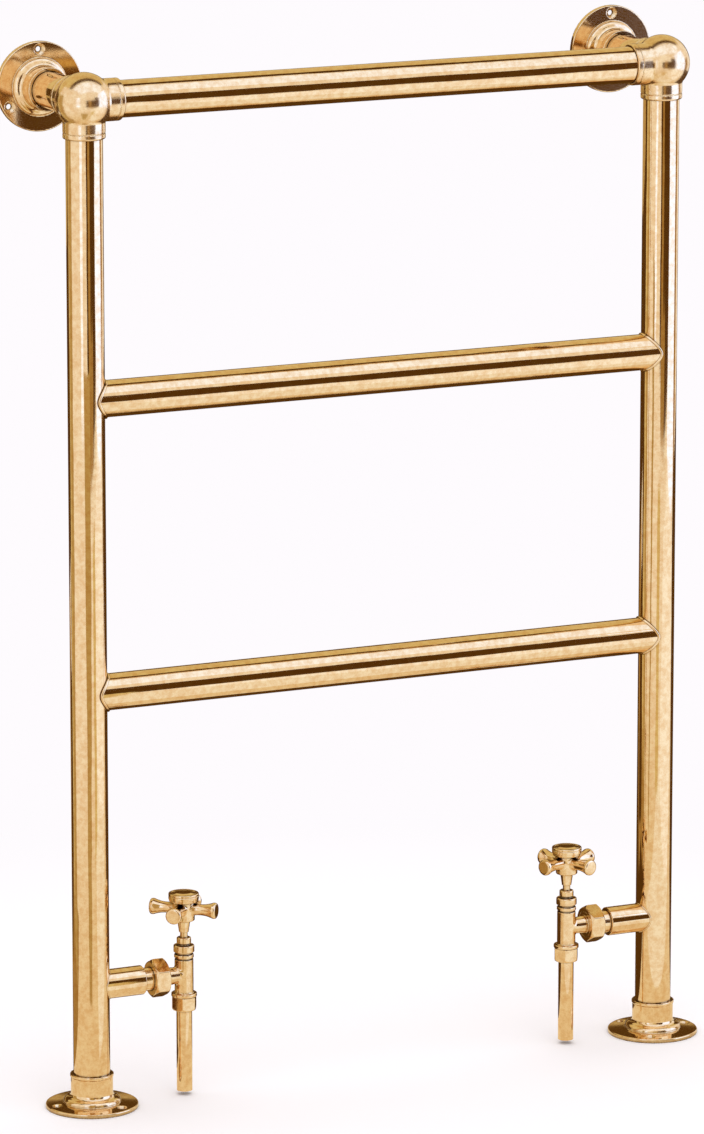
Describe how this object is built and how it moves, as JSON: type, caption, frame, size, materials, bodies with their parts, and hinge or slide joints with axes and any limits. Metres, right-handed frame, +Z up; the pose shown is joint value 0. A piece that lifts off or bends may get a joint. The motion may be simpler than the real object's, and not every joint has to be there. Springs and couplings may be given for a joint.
{
  "type": "heated towel rail",
  "caption": "Ball-jointed brass towel rail that stands on floor flanges, is stayed to the wall, and is fed through crosshead angle valves.",
  "frame": {"origin": "middle of the footprint at floor level: half way between the uprights, and at the middle of the depth from the front of the floor flanges to the wall", "axes": "+Z up, +X along the bars to the right-hand valve as seen from the room, +Y towards the wall"},
  "size_m": [0.688, 0.154, 1.0045],
  "materials": {
    "polished_brass": "polished tube and castings with fine drawing marks",
    "valve_brass": "polished turned and hexagon brass",
    "olive_brass": "soft brass, as turned",
    "screw_steel": "plain steel",
    "washer_rubber": "matt black rubber",
    "packing": "white fluoropolymer packing"
  },
  "bodies": {
    "frame": {"left_upright": "polished_brass", "right_upright": "polished_brass", "top_bar": "polished_brass", "middle_bar": "polished_brass", "lower_bar": "polished_brass", "left_ball_joint": "polished_brass", "right_ball_joint": "polished_brass", "left_wall_stem": "polished_brass", "right_wall_stem": "polished_brass", "left_wall_flange": "polished_brass", "right_wall_flange": "polished_brass", "left_floor_flange": "polished_brass", "right_floor_flange": "polished_brass", "left_foot_plug": "polished_brass", "right_foot_plug": "polished_brass", "flange_grub_screws": "screw_steel", "left_valve_stub": "polished_brass", "right_valve_stub": "polished_brass", "left_union_tail": "valve_brass", "right_union_tail": "valve_brass", "left_union_nut": "valve_brass", "right_union_nut": "valve_brass", "left_union_washer": "washer_rubber", "right_union_washer": "washer_rubber", "left_valve_body": "valve_brass", "right_valve_body": "valve_brass", "left_bonnet": "valve_brass", "right_bonnet": "valve_brass", "left_gland_packing": "packing", "right_gland_packing": "packing", "left_gland_nut": "valve_brass", "right_gland_nut": "valve_brass", "left_olive": "olive_brass", "right_olive": "olive_brass", "left_compression_nut": "valve_brass", "right_compression_nut": "valve_brass", "left_tail_pipe": "polished_brass", "right_tail_pipe": "polished_brass", "air_vent_body": "valve_brass"},
    "left_disc": {"left_valve_disc": "valve_brass", "left_seat_washer": "washer_rubber"},
    "right_disc": {"right_valve_disc": "valve_brass", "right_seat_washer": "washer_rubber"},
    "left_crosshead": {"left_spindle": "valve_brass", "left_handle": "valve_brass", "left_handle_cap": "valve_brass", "left_handle_screw": "screw_steel"},
    "right_crosshead": {"right_spindle": "valve_brass", "right_handle": "valve_brass", "right_handle_cap": "valve_brass", "right_handle_screw": "screw_steel"},
    "vent_screw": {"air_vent_screw": "screw_steel"}
  },
  "joints": [
    {"name": "left_disc_rise", "type": "slide", "parent": "frame", "child": "left_disc", "axis": [0, 0, 1], "range_m": [0, 0.005]},
    {"name": "left_handle_turn", "type": "hinge", "parent": "left_disc", "child": "left_crosshead", "pos_m": [-0.204, -0.033, 0.118], "axis": [0, 0, 1], "range_deg": [0, 900]},
    {"name": "right_disc_rise", "type": "slide", "parent": "frame", "child": "right_disc", "axis": [0, 0, 1], "range_m": [0, 0.005]},
    {"name": "right_handle_turn", "type": "hinge", "parent": "right_disc", "child": "right_crosshead", "pos_m": [0.204, -0.033, 0.118], "axis": [0, 0, 1], "range_deg": [0, 900]},
    {"name": "vent_screw_turn", "type": "hinge", "parent": "frame", "child": "vent_screw", "pos_m": [0.24, -0.0074, 0.962], "axis": [0, 1, 0], "range_deg": [0, 360]}
  ],
  "couplings": [
    {"joint": "left_disc_rise", "follows": "left_handle_turn", "m_per_rad": 0.0003183},
    {"joint": "right_disc_rise", "follows": "right_handle_turn", "m_per_rad": 0.0003183}
  ]
}
